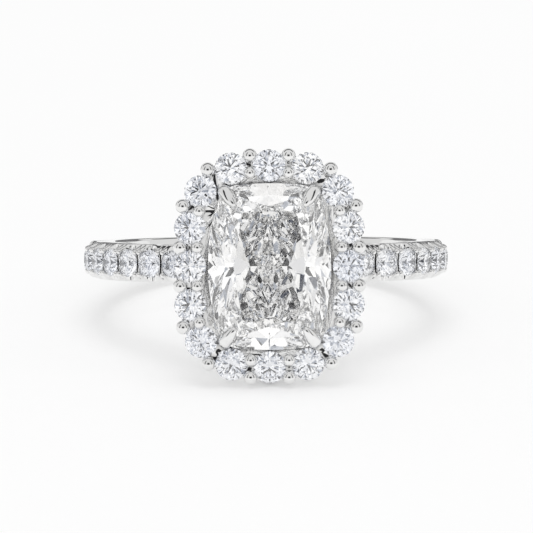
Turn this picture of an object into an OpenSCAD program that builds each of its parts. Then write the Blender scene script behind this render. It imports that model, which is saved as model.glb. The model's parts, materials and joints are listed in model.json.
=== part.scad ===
// Halo ring: an elongated cushion stone in four claws, a halo of round stones
// held by beads, and a band with scalloped stone settings on both shoulders.
// The ring lies on its side, as it does on a table: it rests on the lower edge
// of the halo and on the lower edge of the band's back.
//
// Three frames are used.
//   station frame: X along the band, Y along the finger, Z away from the finger
//   ring frame:    X to the right, -Y to the head, Z along the finger
//   table frame:   the ring frame leaned back and set down on Z = 0

/* [Band] */
// Inside diameter of the finger hole
bore_d = 17; // [15:0.1:21]
// Thickness of the band
band_t = 1.55; // [1.4:0.05:2]
// Width of the band along the finger
band_w = 2.06; // [1.9:0.02:2.6]
// Rounding of the band's inner edges
inner_round = 0.15; // [0.08:0.01:0.3]
// Rounding of the band's outer edges
outer_round = 0.3; // [0.15:0.01:0.5]

/* [Band stones] */
// Diameter of each round stone in the band
band_stone_d = 1.54; // [1.36:0.02:1.6]
// Number of stones on each shoulder
band_stone_n = 8; // [3:1:9]
// Gap between two neighbouring stones of the band
band_stone_gap = 0.15; // [0.12:0.01:0.3]
// Distance along the band from the middle of the head to the first stone
band_stone_from = 3.72; // [3.6:0.02:5]
// Depth of the stones' girdles below the top of the band
band_stone_sink = 0.05; // [0:0.01:0.12]
// Width of the bevel along each edge of the shoulders
bevel_w = 0.42; // [0.3:0.02:0.5]
// Depth of the bevel along each edge of the shoulders
bevel_t = 0.5; // [0.3:0.02:0.6]
// Radius of the open scallop below each stone
scallop_r = 0.5; // [0.4:0.02:0.56]
// Radius of the small bead on each prong of the band
band_bead_r = 0.16; // [0.14:0.01:0.19]
// Width of the slit that splits each pair of prongs
slit_w = 0.1; // [0.06:0.01:0.14]
// Depth of the slit that splits each pair of prongs
slit_t = 0.3; // [0.15:0.01:0.5]

/* [Centre stone] */
// Width of the centre stone, across the finger
centre_w = 6.62; // [6:0.02:7.6]
// Length of the centre stone, along the finger
centre_l = 8.94; // [8.3:0.02:10]
// Radius of the bulge of the long sides
long_side_r = 11.6; // [9:0.1:20]
// Radius of the bulge of the short sides
short_side_r = 16.6; // [9:0.1:24]
// Radius of the stone's corners
corner_r = 1.25; // [0.9:0.05:1.6]
// Height of the crown above the girdle
crown_h = 0.78; // [0.6:0.01:1]
// Thickness of the girdle
girdle_t = 0.18; // [0.1:0.01:0.3]
// Depth of the pavilion below the girdle
pavilion_h = 3.15; // [2.8:0.05:3.4]
// Height of the girdle above the top of the band
centre_rise = 2.85; // [2.5:0.05:3.6]

/* [Claws and basket] */
// Radius of a claw's round shoulder
claw_r = 0.38; // [0.3:0.01:0.4]
// Azimuth of a claw's shoulder round the stone's corner, in degrees
claw_azimuth = 47; // [42:1:52]
// Azimuth of the line that a claw's tip points in along, in degrees
claw_aim = 55; // [48:1:62]
// Height of a claw's shoulder above the middle of the girdle
claw_rise = 0.24; // [0.18:0.01:0.3]
// Slope of a claw's tip over the crown, in degrees
claw_slope = 33; // [30:1:38]
// Depth of the knee of a claw's wire below the middle of the girdle
claw_knee = 0.95; // [0.85:0.05:1.1]
// Length of a claw from its shoulder to its tip
claw_l = 1.05; // [0.8:0.05:1.3]
// Radius of a claw's tip
claw_tip_r = 0.09; // [0.05:0.01:0.15]
// Radius of the wires that carry the claws
wire_r = 0.36; // [0.3:0.01:0.42]
// Height of the gallery rail above the top of the band
rail_rise = 0.95; // [0.6:0.05:1.2]
// Height of the gallery rail's wire
rail_h = 0.5; // [0.35:0.05:0.7]
// Width of the gallery rail's wire
rail_w = 0.5; // [0.35:0.05:0.7]

/* [Halo] */
// Diameter of each round stone in the halo
halo_stone_d = 1.76; // [1.6:0.02:1.84]
// Gap in plan between the centre stone and the halo's stones
halo_gap = 0.08; // [0.06:0.01:0.15]
// Least space between two neighbouring stones of the halo
halo_space = 0.22; // [0.18:0.01:0.26]
// Corner radius of the line that the halo's stones follow
halo_corner_r = 3.2; // [2.6:0.05:3.8]
// Outward lean of the halo's stones, in degrees
halo_lean = 10; // [4:1:14]
// Depth of the halo's girdles below the centre stone's girdle
halo_drop = 0.27; // [0.2:0.01:0.4]
// Radius of the halo's outer beads
outer_bead_r = 0.38; // [0.32:0.01:0.4]
// Distance of the outer beads from the line of the stones
outer_bead_at = 0.5; // [0.46:0.01:0.56]
// Radius of the halo's inner beads
inner_bead_r = 0.34; // [0.28:0.01:0.36]
// Distance of the inner beads from the line of the stones
inner_bead_at = 0.44; // [0.4:0.01:0.48]
// Height of the beads' middles above the girdles of the stones
bead_rise = 0.28; // [0.2:0.01:0.32]
// Thickness of the halo's plate
plate_t = 1.05; // [0.9:0.05:1.3]
// Reach of the plate beyond the line of the stones, between two stones
plate_out = 0.5; // [0.4:0.02:0.6]
// Radius of the plate's scallop round each stone
plate_lobe_r = 0.8; // [0.7:0.02:0.86]
// Width of the ledge that the plate leaves below the centre stone's edge
plate_ledge = 0.75; // [0.5:0.05:0.9]
// Radius of the light hole behind each stone of the halo
light_hole_r = 0.34; // [0.2:0.02:0.4]

/* [Fit] */
// Clearance between each stone and the metal around it
fit = 0.03; // [0.02:0.005:0.06]

/* [Hidden] */
$fn = 48;
hoop_fn = 144;
// Overshoot of a cutting tool past the face that it cuts
over = 0.5;

bore_r = bore_d / 2;
band_r = bore_r + band_t;

// Proportions of a round brilliant, as shares of its diameter
round_table = 0.57;
round_crown = 0.15;
round_girdle = 0.03;
round_pavilion = 0.43;
// Where the star and lower facets end, as shares of their run
round_star = 0.55;
round_lower = 0.77;

// Stones and boundaries along each shoulder, as angles from the head
band_girdle_r = band_r - band_stone_sink;
band_pitch = (band_stone_d + band_stone_gap) / band_girdle_r * 180 / PI;
band_first = band_stone_from / band_girdle_r * 180 / PI;
shoulder_end = band_first + (band_stone_n - 0.5) * band_pitch;
// Place of the four small beads at each boundary between two stones: a little
// apart, and as far from the middle of a stone as its edge and their own radius
band_bead_room = 0.02;
band_bead_along = band_bead_r + band_bead_room;
band_bead_side = sqrt(pow(band_stone_d / 2 + band_bead_r, 2)
    - pow((band_stone_d + band_stone_gap) / 2 - band_bead_along, 2));

// Heights in the head, measured from the middle of the finger hole
centre_z = band_r + centre_rise;
halo_z = centre_z - halo_drop;
plate_lip = 0.02;
plate_top = halo_z - halo_stone_d / 2 * sin(halo_lean) + plate_lip;
plate_low = plate_top - plate_t;

// Outline of the centre stone: its corner's centre and the normals' limits
side_c = [centre_w / 2 - long_side_r, 0];
end_c = [0, centre_l / 2 - short_side_r];
corner_c = circles_meet(side_c, long_side_r - corner_r, end_c, short_side_r - corner_r);
corner_from = atan2(corner_c.y, corner_c.x - side_c.x);
corner_to = atan2(corner_c.y - end_c.y, corner_c.x);

// Line of the halo's stones: a rounded rectangle, a quarter at a time
halo_hx = centre_w / 2 + halo_gap + halo_stone_d / 2 * cos(halo_lean);
halo_hy = centre_l / 2 + halo_gap + halo_stone_d / 2 * cos(halo_lean);
halo_flat_x = halo_hx - halo_corner_r;
halo_flat_y = halo_hy - halo_corner_r;
halo_arc = halo_corner_r * PI / 2;
halo_quarter = halo_flat_x + halo_arc + halo_flat_y;
halo_per_quarter = floor(halo_quarter / (halo_stone_d + halo_space));
halo_n = 4 * halo_per_quarter;
halo_pitch = halo_quarter / halo_per_quarter;

// Claws: the shoulder stands outside the stone's corner, the tip points in
claw_bite = 0.07;
claw_at = corner_c + (corner_r - claw_bite) * [cos(claw_azimuth), sin(claw_azimuth)];
claw_z = centre_z + claw_rise;
// Foot of a claw's wire: a share of the claw's own place, sunk into the band
foot_share = 0.24;
foot_sink = 0.55;
// Room between the gallery rail and the centre stone's pavilion
rail_room = 0.1;

// Lean of the ring: a line that touches the halo's plate and the band's back
rest_halo = [plate_low, -(halo_hy + plate_lobe_r)];
rest_band = [-(band_r - outer_round), -(band_w / 2 - outer_round)];
rest_run = rest_halo - rest_band;
lean = -atan2(rest_run.y, rest_run.x) - asin(outer_round / norm(rest_run));
lift = -(rest_halo.x * sin(lean) + rest_halo.y * cos(lean));
// Foremost places: the table's lower edge, or the lowest outer beads
table_inset = 1.5;
table_at = [centre_z + girdle_t / 2 + crown_h, centre_l / 2 - table_inset];
low_bead_at = [halo_z - outer_bead_at * sin(halo_lean) + bead_rise * cos(halo_lean),
    halo_hy + outer_bead_at * cos(halo_lean) + bead_rise * sin(halo_lean)];
front_y = -max(table_at * [cos(lean), sin(lean)], low_bead_at * [cos(lean), sin(lean)] + outer_bead_r);
back_y = band_r * cos(lean) + band_w / 2 * sin(lean);

// Radius of a bead's post as a share of the bead's radius
post_share = 0.75;

// Steps of the centre stone's outline in each quarter: of the stone, and of its
// seat, whose straight runs need a little room for the bulge between two points
outline_steps = 5;
seat_steps = 2;
seat_room = 0.04;
// The seat's inset over the crown, the depths where its section follows the
// pavilion, as shares of the pavilion's depth, and the least size of a section
seat_crown_inset = 0.95;
seat_depths = [0, 0.1, 0.22, 0.4, 0.65, 1];
seat_foot = 0.06;
// Room round the culet in the pocket that the band has for it
pocket_r = 0.72;

// Facets of the centre stone's crown in one quarter: normal's azimuth, and slope
// from the girdle plane. The first two lists are set at the girdle, the last at
// the table's edge
crown_mains = [[0, 34.2], [10.6, 34.5], [49.1, 34.4], [70.4, 33.3], [85.1, 34.5]];
crown_breaks = [
    [4.8, 40.3], [18.1, 42.4], [26.4, 40.6], [38.4, 41.5],
    [62.2, 40.8], [75.8, 40.5], [83.4, 41.8], [86.9, 42]
];
crown_stars = [
    [9, 19.2], [23.3, 23], [39.9, 20.9], [54, 21.8],
    [69.9, 22.2], [73.7, 20.6], [84.6, 21.1]
];
break_inset = 0.03;
// Each list with the height where its facets are set, and the inset there
crown_tiers = [
    [crown_mains, girdle_t / 2, 0],
    [crown_breaks, girdle_t / 2, break_inset],
    [crown_stars, girdle_t / 2 + crown_h, table_inset]
];
// Facets of the pavilion in one quarter, from the girdle down, uneven as in a
// crushed ice cut: azimuth, where the facet's plane crosses the keel as a share
// of the depth, and its reach as a share of the outline
pavilion_cuts = [
    [0, 1.67, 1.017], [13, 1.629, 0.989], [31.2, 1.7, 0.976], [36.8, 1.723, 1.062],
    [47.3, 1.456, 1.013], [66.8, 1.62, 0.998], [67, 1.812, 1.009], [73.3, 1.474, 1.026],
    [0, 1.119, 1.06], [13.3, 1.098, 1.019], [14.9, 1.144, 1.081], [29.5, 1.113, 0.993],
    [57.4, 1.229, 1.04], [79.4, 1.162, 1.038],
    [0, 1.103, 1.189], [4.7, 1.078, 1.152], [12.7, 1.026, 1.136], [21.1, 1.129, 1.122],
    [60.3, 1.06, 1.176], [79.7, 1.146, 1.157],
    [25.8, 0.938, 1.184], [49.8, 0.873, 1.167], [68.2, 1.009, 1.16]
];
// Half the length of the keel that the pavilion's facets run towards
keel_l = 0.42;

half_turn = 180;
quarter_turn = 90;

// Where two circles meet, on the left of the way from the first to the second
function circles_meet(c0, r0, c1, r1) =
    let (d = norm(c1 - c0), u = (c1 - c0) / d, a = (r0 * r0 - r1 * r1 + d * d) / (2 * d))
    c0 + a * u + sqrt(r0 * r0 - a * a) * [-u.y, u.x];

// The point of the centre stone's outline whose normal is at the given azimuth
function quarter_point(az) =
    az < corner_from ? side_c + long_side_r * [cos(az), sin(az)]
    : az > corner_to ? end_c + short_side_r * [cos(az), sin(az)]
    : corner_c + corner_r * [cos(az), sin(az)];
function fold(az) = let (a = (az % 360 + 360) % 360) a > 180 ? 360 - a : a;
function outline_point(az) =
    let (f = fold(az), q = f > 90 ? 180 - f : f, p = quarter_point(q), a = (az % 360 + 360) % 360)
    [f > 90 ? -p.x : p.x, a > 180 ? -p.y : p.y];
function outline_reach(az) = outline_point(az) * [cos(az), sin(az)];

// Azimuths once round the outline, close together in the corners
function quarter_azimuths(n) = concat(
    [for (i = [0:n - 1]) corner_from * i / n],
    [for (i = [0:2 * n - 1]) corner_from + (corner_to - corner_from) * i / (2 * n)],
    [for (i = [0:n - 1]) corner_to + (90 - corner_to) * i / n]
);
function round_azimuths(n) =
    let (q = quarter_azimuths(n))
    concat(q, [90], [for (i = [len(q) - 1:-1:1]) 180 - q[i]], [for (a = q) 180 + a], [270],
        [for (i = [len(q) - 1:-1:1]) 360 - q[i]]);
function outline(n, grow) = [for (az = round_azimuths(n)) outline_point(az) + grow * [cos(az), sin(az)]];

// A point and its outward azimuth on the line of the halo's stones
function halo_quarter_point(s) =
    s < halo_flat_x ? [s, halo_hy, 90]
    : s > halo_flat_x + halo_arc ? [halo_hx, halo_quarter - s, 0]
    : let (a = 90 - (s - halo_flat_x) / halo_corner_r * 180 / PI)
      [halo_flat_x + halo_corner_r * cos(a), halo_flat_y + halo_corner_r * sin(a), a];
function halo_point(s) =
    let (q = floor(s / halo_quarter), u = s - q * halo_quarter)
    let (p = halo_quarter_point(q % 2 == 0 ? u : halo_quarter - u))
    q == 0 ? p
    : q == 1 ? [p.x, -p.y, -p.z]
    : q == 2 ? [-p.x, -p.y, half_turn + p.z]
    : [-p.x, p.y, half_turn - p.z];

module on_table() translate([0, -(front_y + back_y) / 2, lift]) rotate([-lean, 0, 0]) children();

module station(angle) rotate([0, 0, angle]) rotate([90, 0, 0]) children();

module halo_place(s) {
    p = halo_point(s);
    translate([p.x, p.y, halo_z]) rotate([0, halo_lean, p.z]) children();
}

module bar(p, q, r) {
    v = q - p;
    translate(p) rotate([0, acos(v.z / norm(v)), atan2(v.y, v.x)]) cylinder(r = r, h = norm(v));
}

// A round brilliant with its girdle's middle at the origin and its table up
module round_stone(d) {
    r = d / 2;
    table_r = r * round_table;
    girdle_z = d * round_girdle / 2;
    star_r = table_r * cos(22.5) + round_star * (r - table_r * cos(22.5));
    star_z = girdle_z + d * round_crown * (r - star_r * cos(22.5)) / (r - table_r);
    lower_r = r * (1 - round_lower);
    lower_z = girdle_z + d * round_pavilion * (1 - lower_r * cos(22.5) / r);
    points = concat(
        [for (k = [0:7]) [table_r * cos(45 * k), table_r * sin(45 * k), girdle_z + d * round_crown]],
        [for (k = [0:7]) [star_r * cos(45 * k + 22.5), star_r * sin(45 * k + 22.5), star_z]],
        [for (k = [0:15]) [r * cos(22.5 * k), r * sin(22.5 * k), girdle_z]],
        [for (k = [0:15]) [r * cos(22.5 * k), r * sin(22.5 * k), -girdle_z]],
        [for (k = [0:7]) [lower_r * cos(45 * k + 22.5), lower_r * sin(45 * k + 22.5), -lower_z]],
        [[0, 0, -girdle_z - d * round_pavilion]]
    );
    star = 8;
    upper = 16;
    lower = 32;
    break = 48;
    culet = 56;
    faces = concat(
        [[for (k = [7:-1:0]) k]],
        [for (k = [0:7]) [k, (k + 1) % 8, star + k]],
        [for (k = [0:7]) [k, star + k, upper + 2 * k, star + (k + 7) % 8]],
        [for (k = [0:7]) [star + k, upper + 2 * k + 1, upper + 2 * k]],
        [for (k = [0:7]) [star + k, upper + (2 * k + 2) % 16, upper + 2 * k + 1]],
        [for (k = [0:15]) [upper + k, upper + (k + 1) % 16, lower + (k + 1) % 16, lower + k]],
        [for (k = [0:7]) [break + k, lower + 2 * k, lower + 2 * k + 1]],
        [for (k = [0:7]) [break + k, lower + 2 * k + 1, lower + (2 * k + 2) % 16]],
        [for (k = [0:7]) [culet, break + (k + 7) % 8, lower + 2 * k, break + k]]
    );
    polyhedron(points = points, faces = faces, convexity = 2);
}

// The space that a round stone and its clearance take from the metal
module round_seat(d) {
    r = d / 2 + fit;
    girdle_z = d * round_girdle / 2 + fit;
    rotate_extrude() polygon([
        [0, -girdle_z - d * round_pavilion - fit],
        [r, -girdle_z],
        [r, girdle_z],
        [d / 2 * round_table + fit, girdle_z + d * round_crown],
        [0, girdle_z + d * round_crown]
    ]);
}

// The azimuths that mirror one quarter's azimuth into all four quarters
function mirrored(az) =
    az == 0 ? [0, half_turn]
    : az == quarter_turn ? [az, -az]
    : [az, half_turn - az, half_turn + az, -az];

// Facet planes as [azimuth, slope of the normal from the axis, distance from the origin]
crown_facets = [for (tier = crown_tiers, cut = tier[0], az = mirrored(cut[0]))
    [az, cut[1], (outline_reach(az) - tier[2]) * sin(cut[1]) + tier[1] * cos(cut[1])]];
pavilion_facets = [for (cut = pavilion_cuts, az = mirrored(cut[0]))
    let (reach = cut[2] * outline_reach(az))
    let (slope = atan2(cut[1] * pavilion_h, reach - keel_l * abs(sin(az))))
    [az, half_turn - slope, reach * sin(slope) + girdle_t / 2 * cos(slope)]];

// How far the pavilion, with all its facets moved out, reaches from the stone's
// middle at an azimuth and a height
function facet_reach(facet, az, z, grow) =
    let (across = sin(facet[1]) * cos(az - facet[0]))
    across > 0 ? (facet[2] + grow - z * cos(facet[1])) / across : centre_l;
function pavilion_reach(az, z, grow) = min([for (facet = pavilion_facets) facet_reach(facet, az, z, grow)]);

// The blank of the centre stone, cut by the first facets of a list one after another
module cut_facets(facets, count) {
    size = 3 * centre_l;
    if (count == 0)
        translate([0, 0, -girdle_t / 2 - pavilion_h])
            linear_extrude(crown_h + girdle_t + pavilion_h) polygon(outline(outline_steps, 0));
    else
        intersection() {
            cut_facets(facets, count - 1);
            rotate([0, facets[count - 1][1], facets[count - 1][0]])
                translate([-size / 2, -size / 2, facets[count - 1][2] - size]) cube(size);
        }
}

// The centre stone with its girdle's middle at the origin and its table up
module cushion_stone() {
    facets = concat(crown_facets, pavilion_facets);
    cut_facets(facets, len(facets));
}

// The space that the centre stone takes from the metal: its outline over the
// crown and at the girdle, then the pavilion's own sections
module cushion_seat() {
    grow = fit + seat_room;
    around = outline(seat_steps, grow);
    points = concat(
        [for (p = outline(seat_steps, grow - seat_crown_inset)) [p.x, p.y, girdle_t / 2 + crown_h + fit]],
        [for (p = around) [p.x, p.y, girdle_t / 2 + fit]],
        [for (depth = seat_depths, p = around)
            let (z = -girdle_t / 2 - depth * pavilion_h, reach = pavilion_reach(atan2(p.y, p.x), z, grow))
            let (size = min(1, max(seat_foot, reach / norm(p))))
            [p.x * size, p.y * size, z - fit]]
    );
    n = len(around);
    rings = len(points) / n;
    faces = concat(
        [[for (k = [n - 1:-1:0]) k]],
        [for (j = [0:rings - 2]) for (k = [0:n - 1])
            [j * n + k, j * n + (k + 1) % n, (j + 1) * n + (k + 1) % n, (j + 1) * n + k]],
        [[for (k = [0:n - 1]) (rings - 1) * n + k]]
    );
    polyhedron(points = points, faces = faces, convexity = 2);
}

module rounded_block(hx, hy, r, h) {
    translate([-hx, -hy + r, 0]) cube([2 * hx, 2 * (hy - r), h]);
    translate([-hx + r, -hy, 0]) cube([2 * (hx - r), 2 * hy, h]);
    for (x = [-1, 1], y = [-1, 1]) translate([x * (hx - r), y * (hy - r), 0]) cylinder(r = r, h = h);
}

module band_section() {
    translate([bore_r + inner_round, -band_w / 2])
        square([band_t - inner_round - outer_round, band_w]);
    translate([bore_r, -band_w / 2 + inner_round])
        square([inner_round * 2, band_w - 2 * inner_round]);
    translate([band_r - outer_round * 2, -band_w / 2 + outer_round])
        square([outer_round * 2, band_w - 2 * outer_round]);
    for (y = [-1, 1]) {
        translate([bore_r + inner_round, y * (band_w / 2 - inner_round)]) circle(inner_round);
        translate([band_r - outer_round, y * (band_w / 2 - outer_round)]) circle(outer_round);
    }
}

module shoulder_bevels() {
    slope = bevel_w / bevel_t;
    rotate([0, 0, -90 - shoulder_end]) rotate_extrude(angle = 2 * shoulder_end, $fn = hoop_fn)
        for (y = [-1, 1]) polygon([
            [band_r - bevel_t - over, y * (band_w / 2 + over * slope)],
            [band_r + over, y * (band_w / 2 - bevel_w - over * slope)],
            [band_r + over, y * (band_w / 2 + over * slope)]
        ]);
}

module band_beads() {
    for (x = [-1, 1], y = [-1, 1])
        translate([x * band_bead_along, y * band_bead_side, band_r]) sphere(band_bead_r);
}

module band_blank() {
    difference() {
        rotate_extrude($fn = hoop_fn) band_section();
        shoulder_bevels();
        for (side = [-1, 1], i = [0:band_stone_n - 1]) station(side * (band_first + i * band_pitch))
            translate([0, 0, band_r + band_stone_sink]) rotate([90, 0, 0])
                cylinder(r = scallop_r, h = band_w + over, center = true);
        for (side = [-1, 1], i = [0:band_stone_n]) station(side * (band_first + (i - 0.5) * band_pitch))
            translate([0, 0, band_r]) cube([slit_w, band_w + over, 2 * slit_t], center = true);
    }
}

// The band with its small beads, the stones' seats and the pocket for the culet
module band_metal() {
    culet_z = centre_z - girdle_t / 2 - pavilion_h;
    difference() {
        union() {
            band_blank();
            for (side = [-1, 1], i = [0:band_stone_n])
                station(side * (band_first + (i - 0.5) * band_pitch)) band_beads();
        }
        for (side = [-1, 1], i = [0:band_stone_n - 1]) station(side * (band_first + i * band_pitch))
            translate([0, 0, band_girdle_r]) round_seat(band_stone_d);
        if (culet_z < band_r) station(0) translate([0, 0, culet_z - 2 * fit])
            cylinder(r1 = fit, r2 = pocket_r * 2, h = (band_r - culet_z + 2 * fit) * 2);
    }
}

module rounded_area(hx, hy, r) {
    square([2 * hx, 2 * (hy - r)], center = true);
    square([2 * (hx - r), 2 * hy], center = true);
    for (x = [-1, 1], y = [-1, 1]) translate([x * (hx - r), y * (hy - r)]) circle(r);
}

// A place on the line of the stones, moved outward, in the plate's plane
module halo_spot(s, out) {
    p = halo_point(s);
    translate([p.x + out * cos(p.z), p.y + out * sin(p.z)]) children();
}

module halo_plate() {
    translate([0, 0, plate_low]) linear_extrude(plate_t) difference() {
        union() {
            rounded_area(halo_hx + plate_out, halo_hy + plate_out, halo_corner_r + plate_out);
            for (i = [0:halo_n - 1]) {
                halo_spot(i * halo_pitch, 0) circle(plate_lobe_r);
                halo_spot((i + 0.5) * halo_pitch, plate_out) circle(outer_bead_r * post_share);
            }
        }
        polygon(outline(seat_steps, -plate_ledge));
        for (i = [0:halo_n - 1]) halo_spot(i * halo_pitch, 0) circle(light_hole_r);
    }
}

// A bead at a signed distance from the line of the stones, on its own short post
module halo_bead(at, r) {
    translate([at, 0, -r]) cylinder(r = r * post_share, h = r + bead_rise);
    translate([at, 0, bead_rise]) sphere(r);
}

module halo_beads() {
    for (i = [0:halo_n - 1]) {
        p = halo_point((i + 0.5) * halo_pitch);
        inner = [p.x, p.y] - inner_bead_at * [cos(p.z), sin(p.z)];
        halo_place((i + 0.5) * halo_pitch) halo_bead(outer_bead_at, outer_bead_r);
        if (norm([abs(inner.x), abs(inner.y)] - claw_at) > claw_r + inner_bead_r)
            halo_place((i + 0.5) * halo_pitch) halo_bead(-inner_bead_at, inner_bead_r);
    }
}

module claw() {
    shoulder = [claw_at.x, claw_at.y, claw_z];
    knee = [claw_at.x, claw_at.y, centre_z - claw_knee];
    foot = [claw_at.x * foot_share, claw_at.y * foot_share, band_r - foot_sink];
    bar(foot, knee, wire_r);
    translate(knee) sphere(wire_r);
    bar(knee, shoulder, wire_r);
    translate(shoulder) sphere(claw_r);
    translate(shoulder) rotate([0, 90 - claw_slope, claw_aim + 180])
        cylinder(r1 = claw_r, r2 = claw_tip_r, h = claw_l);
}

module basket() {
    for (x = [0, 1], y = [0, 1]) mirror([x, 0, 0]) mirror([0, y, 0]) claw();
    rail_top = rail_rise + rail_h / 2 - centre_rise;
    rail_hx = pavilion_reach(0, rail_top, rail_room) + rail_w;
    rail_hy = pavilion_reach(quarter_turn, rail_top, rail_room) + rail_w;
    translate([0, 0, band_r + rail_rise - rail_h / 2]) difference() {
        rounded_block(rail_hx, rail_hy, rail_w * 2, rail_h);
        translate([0, 0, -over])
            rounded_block(rail_hx - rail_w, rail_hy - rail_w, rail_w, rail_h + 2 * over);
    }
}

// The halo's plate and beads, the claws and the gallery rail, with the seats cut
module head_metal() {
    difference() {
        union() {
            halo_plate();
            halo_beads();
            basket();
        }
        translate([0, 0, centre_z]) cushion_seat();
        for (i = [0:halo_n - 1]) halo_place(i * halo_pitch) round_seat(halo_stone_d);
    }
}

module setting() color("gainsboro") {
    band_metal();
    station(0) head_metal();
}

module centre_stone() color("lightcyan") station(0) translate([0, 0, centre_z]) cushion_stone();

module halo_stone(i) color("azure") station(0) halo_place((i - 1) * halo_pitch) round_stone(halo_stone_d);

module band_stone(side, i) color("azure") station(side * (band_first + (i - 1) * band_pitch))
    translate([0, 0, band_girdle_r]) round_stone(band_stone_d);

on_table() setting();
on_table() centre_stone();
for (i = [1:halo_n])
    on_table() halo_stone(i);
for (i = [1:band_stone_n])
    on_table() band_stone(1, i);
for (i = [1:band_stone_n])
    on_table() band_stone(-1, i);
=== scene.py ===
import json
import math

import bpy
from bpy.props import FloatProperty, FloatVectorProperty, IntProperty, PointerProperty
from bpy.types import Operator, Panel, PropertyGroup
from mathutils import Matrix, Vector


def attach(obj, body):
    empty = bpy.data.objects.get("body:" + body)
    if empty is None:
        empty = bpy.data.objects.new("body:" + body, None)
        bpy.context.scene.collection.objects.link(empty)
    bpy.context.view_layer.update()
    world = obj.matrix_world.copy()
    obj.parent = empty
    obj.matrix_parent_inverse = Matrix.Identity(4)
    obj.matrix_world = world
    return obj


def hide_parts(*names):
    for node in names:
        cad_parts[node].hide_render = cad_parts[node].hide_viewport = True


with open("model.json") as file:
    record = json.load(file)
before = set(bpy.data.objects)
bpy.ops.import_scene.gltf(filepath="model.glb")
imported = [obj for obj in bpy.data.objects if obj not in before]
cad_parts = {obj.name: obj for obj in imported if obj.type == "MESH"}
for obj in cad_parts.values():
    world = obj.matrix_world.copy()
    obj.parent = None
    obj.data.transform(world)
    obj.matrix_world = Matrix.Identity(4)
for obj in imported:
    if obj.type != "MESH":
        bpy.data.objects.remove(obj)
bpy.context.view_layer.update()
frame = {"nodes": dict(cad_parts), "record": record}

bl_info = {
    "name": "Halo ring",
    "version": (1, 0, 0),
    "blender": (4, 5, 0),
    "location": "3D View > Sidebar > Halo ring",
    "description": "Dresses the packed halo ring in polished metal and cut stones, in a pale studio",
    "category": "Object",
}

# Sizes are written in millimetres and kept in metres. Three frames are used, as in the part:
#   station frame: X along the band, Y along the finger, Z away from the finger
#   ring frame:    X to the right, -Y to the head, Z along the finger
#   table frame:   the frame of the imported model, in which the ring lies on Z = 0
MM = 0.001

# The finger hole's middle and axis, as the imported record's mount gives them
HOLE = frame["record"]["mounts"][0]
HOLE_AXIS = Vector(HOLE["axis"])
RING = Matrix.Translation(HOLE["pos_m"]) @ Matrix.Rotation(-math.atan2(HOLE_AXIS.y, HOLE_AXIS.z), 4, "X")
BORE_RADIUS = HOLE["dims"]["r_mm"] * MM

# Nearness at which a point counts as lying on a line, as off a plane, and as a double of another
ON_LINE = 0.01 * MM
OFF_PLANE = 0.001 * MM
DOUBLE = 0.0001 * MM

# Room that the cuts leave round the stones, and the length by which a cutter stands out of a piece
BAND_SEAT_ROOM = 0.03 * MM
HALO_SEAT_ROOM = 0.02 * MM
CENTRE_ROOM = 0.05 * MM
OVERSHOOT = 1.0 * MM

# Angles between two faces above which an edge is rounded, and above which it stays crisp
ROUNDED_ANGLE = math.radians(35)
CRISP_ANGLE = math.radians(32)

# A round stone's depth, and the height of its cutter above the girdle, as shares of its diameter
STONE_DEPTH = 0.45
CUTTER_RISE = 0.5

# Steps of the band's outer rounding, and how far the two prongs of a pair stand apart, in prong radii
OUTER_ROUND_STEPS = 7
PRONG_SPREAD = 0.9
PRONG_BEAD_RISE = 0.03 * MM

# The halo's posts, as shares of their beads, and the height of its plate over the girdles' low edges
PLATE_POST = 0.75
BEAD_POST = 0.72
PLATE_RISE = 0.02 * MM
WINDOW_CORNER = 1.0 * MM

# How far a claw's shoulder stands in from the stone's edge, and the share of its width lost at the tip
CLAW_BITE = 0.07 * MM
CLAW_TAPER = 0.93
RAIL_EDGE = 0.12 * MM


def length(name, description, millimetres):
    """A length that the sidebar shows in the scene's unit"""
    return FloatProperty(name=name, description=description, default=millimetres * MM, min=0.0,
                         precision=5, subtype="DISTANCE", unit="LENGTH")


def turn(name, description, degrees):
    """An angle, shown in degrees"""
    return FloatProperty(name=name, description=description, default=math.radians(degrees),
                         subtype="ANGLE", unit="ROTATION")


def colour(name, description, value):
    return FloatVectorProperty(name=name, description=description, default=value, size=3, min=0.0,
                               max=1.0, subtype="COLOR")


def share(name, description, value):
    return FloatProperty(name=name, description=description, default=value, min=0.0, max=1.0,
                         precision=3, subtype="FACTOR")


class BandSizes(PropertyGroup):
    """Sizes of the band and of its shoulders' stone settings"""
    thickness: length("Thickness", "Thickness of the band", 1.55)
    width: length("Width", "Width of the band along the finger", 2.06)
    inner_round: length("Inner rounding", "Rounding of the inner edges", 0.15)
    outer_round: length("Outer rounding", "Rounding of the outer edges", 0.3)
    bevel_width: length("Bevel width", "Width of the bevel along the shoulders", 0.42)
    bevel_depth: length("Bevel depth", "Depth of the bevel along the shoulders", 0.5)
    scallop_radius: length("Scallop radius", "Radius of the open scallop below each stone", 0.5)
    stone: length("Stone", "Diameter of each stone in the band", 1.54)
    stone_gap: length("Stone gap", "Gap between two stones", 0.15)
    stone_from: length("First stone", "Way along the band from the head's middle to the first stone", 3.72)
    stone_sink: length("Stone depth", "Depth of the girdles below the band's top", 0.05)
    stone_count: IntProperty(name="Stones", description="Number of stones on each shoulder", default=8, min=1)
    slit: length("Slit", "Width of the slit between two prongs", 0.1)
    slit_depth: length("Slit depth", "Depth of the slit between two prongs", 0.3)
    prong_radius: length("Prong radius", "Radius of the prongs that run over the bevel", 0.13)
    bead_radius: length("Bead radius", "Radius of the small bead on each prong", 0.16)


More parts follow.
